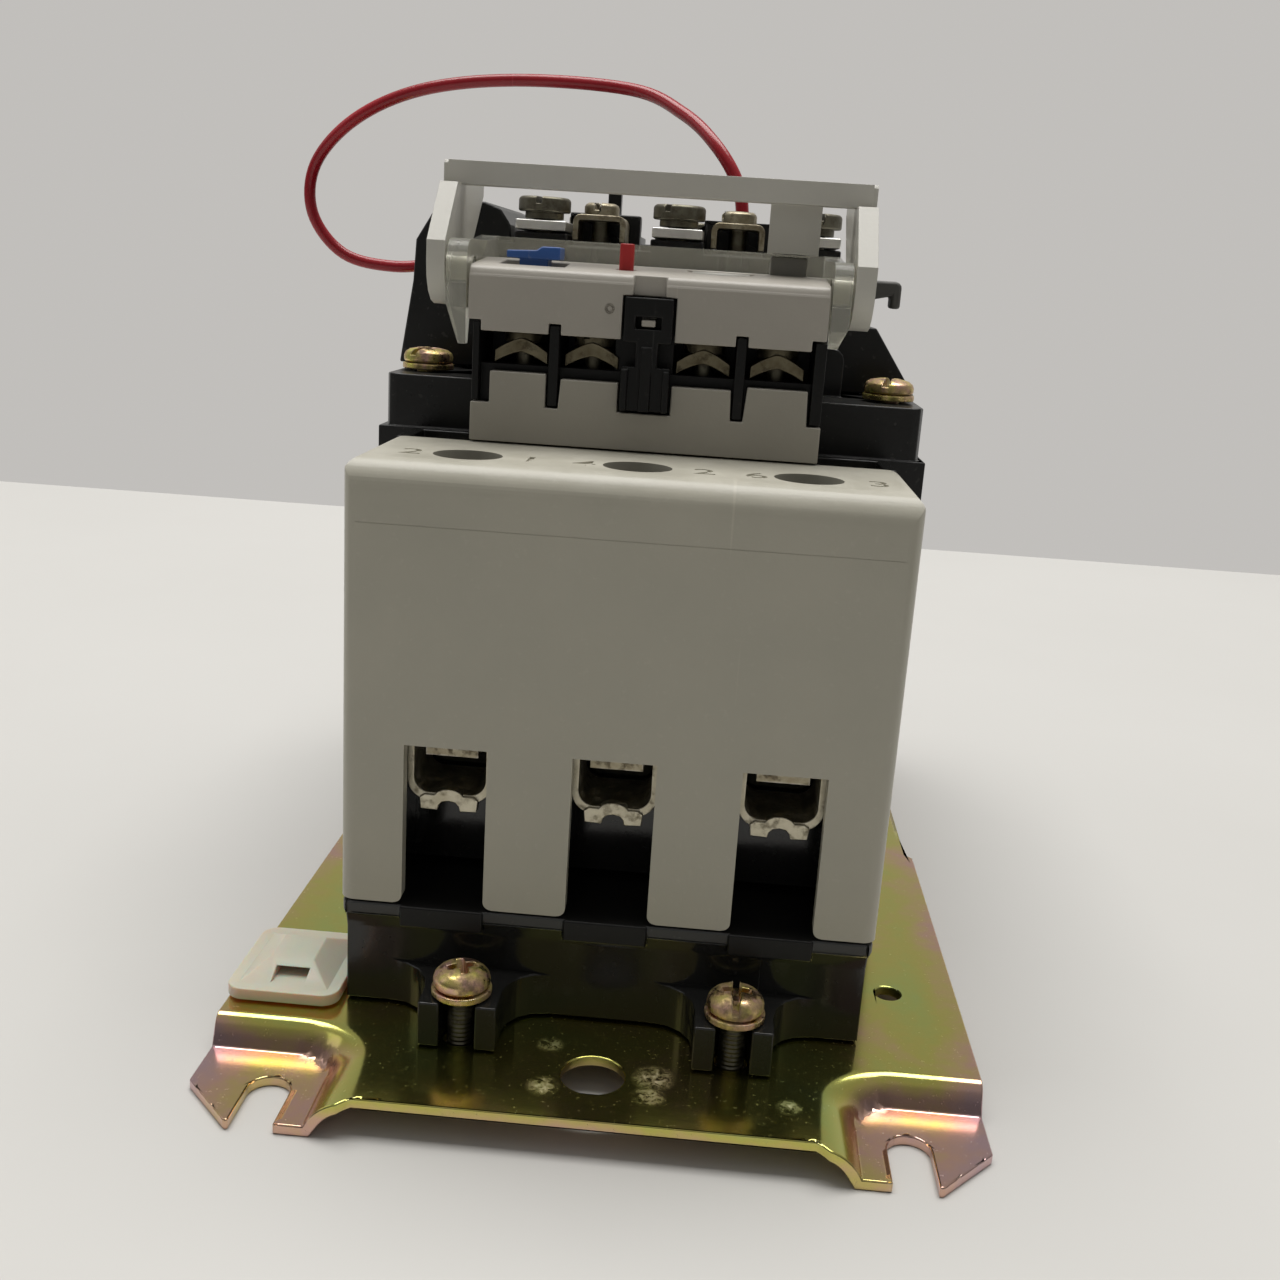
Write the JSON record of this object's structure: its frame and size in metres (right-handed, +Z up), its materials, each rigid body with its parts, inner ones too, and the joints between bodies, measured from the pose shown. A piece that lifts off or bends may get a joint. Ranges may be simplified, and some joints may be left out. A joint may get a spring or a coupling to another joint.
{
  "type": "contactor with overload relay",
  "caption": "Three-pole contactor with a plug-on thermal overload relay, screwed to a plated steel mounting plate with slotted feet.",
  "frame": {"origin": "centre of the bottom of the object without its wire, on the surface the plate's feet stand on", "axes": "+X across the poles, +Y from the load end to the line end, +Z up, away from the mounting surface"},
  "size_m": [0.1355, 0.19, 0.1518],
  "materials": {
    "zinc_plate": "yellow chromate over bright zinc, iridescent",
    "yellow_zinc_screw": "yellow chromate over zinc, glossy",
    "tarnished_steel": "plated, tarnished",
    "tinned_bar": "bright tin plate",
    "laminated_steel": "ground laminations",
    "copper": "bare",
    "black_plastic": "glossy, dusty",
    "dark_grey_plastic": "satin",
    "grey_plastic": "fine satin",
    "white_plastic": "satin",
    "nylon": "translucent",
    "clear_plastic": "clear, slightly yellowed",
    "blue_plastic": "satin",
    "red_plastic": "satin",
    "red_wire": "glossy insulation"
  },
  "bodies": {
    "starter": {"mounting_plate": "zinc_plate", "tie_mount": "nylon", "relay_screw_l": "yellow_zinc_screw", "relay_screw_r": "yellow_zinc_screw", "flange_screw_l": "yellow_zinc_screw", "flange_screw_r": "yellow_zinc_screw", "load_screw_1": "yellow_zinc_screw", "load_screw_2": "yellow_zinc_screw", "load_screw_3": "yellow_zinc_screw", "relay_base": "black_plastic", "relay_housing": "black_plastic", "aux_block": "black_plastic", "latch": "black_plastic", "contactor_base": "black_plastic", "contactor_top": "black_plastic", "aux_module": "black_plastic", "side_hook": "black_plastic", "terminal_shroud": "grey_plastic", "relay_body": "grey_plastic", "top_cover": "grey_plastic", "load_clamp_1": "tarnished_steel", "load_clamp_2": "tarnished_steel", "load_clamp_3": "tarnished_steel", "aux_terminal_1": "tarnished_steel", "aux_terminal_2": "tarnished_steel", "aux_terminal_3": "tarnished_steel", "aux_terminal_4": "tarnished_steel", "main_screw_1": "tarnished_steel", "main_screw_2": "tarnished_steel", "main_screw_3": "tarnished_steel", "line_screw_1": "tarnished_steel", "line_screw_2": "tarnished_steel", "line_screw_3": "tarnished_steel", "coil_terminal_1": "tarnished_steel", "coil_terminal_2": "tarnished_steel", "return_spring": "tarnished_steel", "heater_1": "copper", "heater_2": "copper", "heater_3": "copper", "load_contact_1": "tinned_bar", "load_contact_2": "tinned_bar", "load_contact_3": "tinned_bar", "line_contact_1": "tinned_bar", "line_contact_2": "tinned_bar", "line_contact_3": "tinned_bar", "coil": "dark_grey_plastic", "clear_guard": "clear_plastic", "magnet_core": "laminated_steel", "jumper_wire": "red_wire"},
    "carrier": {"contact_carrier": "dark_grey_plastic", "armature": "laminated_steel", "bridge_1": "copper", "bridge_2": "copper", "bridge_3": "copper"},
    "reset_button": {"reset_button": "blue_plastic"},
    "trip_pin": {"trip_pin": "red_plastic"},
    "stop_button": {"stop_button": "dark_grey_plastic"},
    "bail": {"reset_bail": "white_plastic"},
    "dial": {"current_dial": "white_plastic"},
    "slider": {"trip_slider": "nylon"}
  },
  "joints": [
    {"name": "carrier_slide", "type": "slide", "parent": "starter", "child": "carrier", "axis": [0, 0, -1], "range_m": [0, 0.0042], "stiffness_N_per_m": 500, "springref_m": -0.01, "deforming": ["return_spring"]},
    {"name": "reset_push", "type": "slide", "parent": "starter", "child": "reset_button", "axis": [0, 0, -1], "range_m": [0, 0.0014], "stiffness_N_per_m": 300, "springref_m": -0.003},
    {"name": "trip_pin_push", "type": "slide", "parent": "starter", "child": "trip_pin", "axis": [0, 0, -1], "range_m": [0, 0.0012], "stiffness_N_per_m": 200, "springref_m": -0.003},
    {"name": "bail_pivot", "type": "hinge", "parent": "starter", "child": "bail", "pos_m": [0, -0.0371, 0.1146], "axis": [-1, 0, 0], "range_deg": [0, 6], "stiffness_Nm_per_rad": 0.08, "springref_deg": -13.75},
    {"name": "stop_push", "type": "slide", "parent": "starter", "child": "stop_button", "axis": [0, 0, -1], "range_m": [0, 0.0014]},
    {"name": "dial_turn", "type": "hinge", "parent": "starter", "child": "dial", "pos_m": [0.0096, -0.0309, 0.112], "axis": [0, 0, 1], "range_deg": [-120, 120]},
    {"name": "trip_slide", "type": "slide", "parent": "starter", "child": "slider", "axis": [-1, 0, 0], "range_m": [0, 0.0022], "stiffness_N_per_m": 60, "springref_m": -0.002}
  ],
  "couplings": [
    {"joint": "stop_push", "follows": "bail_pivot", "m_per_rad": 0.0125}
  ]
}
